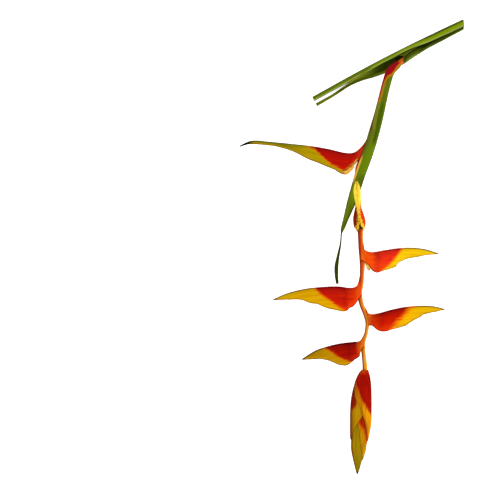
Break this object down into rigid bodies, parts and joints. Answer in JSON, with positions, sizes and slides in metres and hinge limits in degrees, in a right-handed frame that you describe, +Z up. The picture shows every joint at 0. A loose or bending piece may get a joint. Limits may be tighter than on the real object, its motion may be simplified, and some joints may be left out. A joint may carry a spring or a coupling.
{
  "type": "heliconia flower",
  "caption": "Cut hanging heliconia flower lying flat: a zigzag stem with boat-shaped red and yellow bracts, a closed bud, and a split leaf sheath at its cut end.",
  "frame": {"origin": "centre of the outline, on the surface that the cut flower lies on", "axes": "+Y along the flower towards its cut end, the bud's tip towards -Y, +Z up from the surface"},
  "size_m": [0.2248, 0.4551, 0.0586],
  "materials": {
    "leaf_stalk": "fresh leaf stalk, finely ribbed, satin",
    "leaf_sheath": "dark green leaf sheath, finely ribbed, satin",
    "flower_stem": "waxy orange-red stem",
    "leafy_bract": "olive green, parallel veins, satin",
    "long_bract": "waxy, red at the base to olive green at the tip",
    "bract": "waxy, red with yellow edge and tip",
    "bud_bract": "waxy, red with yellow edge and tip",
    "bud_core": "waxy, greenish yellow",
    "flowers": "soft, pale yellow"
  },
  "bodies": {
    "root": {"outer_leaf_stalk": "leaf_stalk", "inner_leaf_sheath": "leaf_sheath", "flower_stem": "flower_stem", "leafy_bract": "leafy_bract", "bract_1": "long_bract", "bract_2": "bract", "bract_3": "bract", "bract_4": "bract", "bract_5": "bract", "bract_6": "bract", "bud_bract_1": "bud_bract", "bud_bract_2": "bud_bract", "bud_bract_3": "bud_bract", "bud_core": "bud_core", "flowers_1": "flowers", "flowers_2": "flowers", "flowers_3": "flowers", "flowers_4": "flowers", "flowers_5": "flowers", "flowers_6": "flowers"}
  },
  "joints": []
}
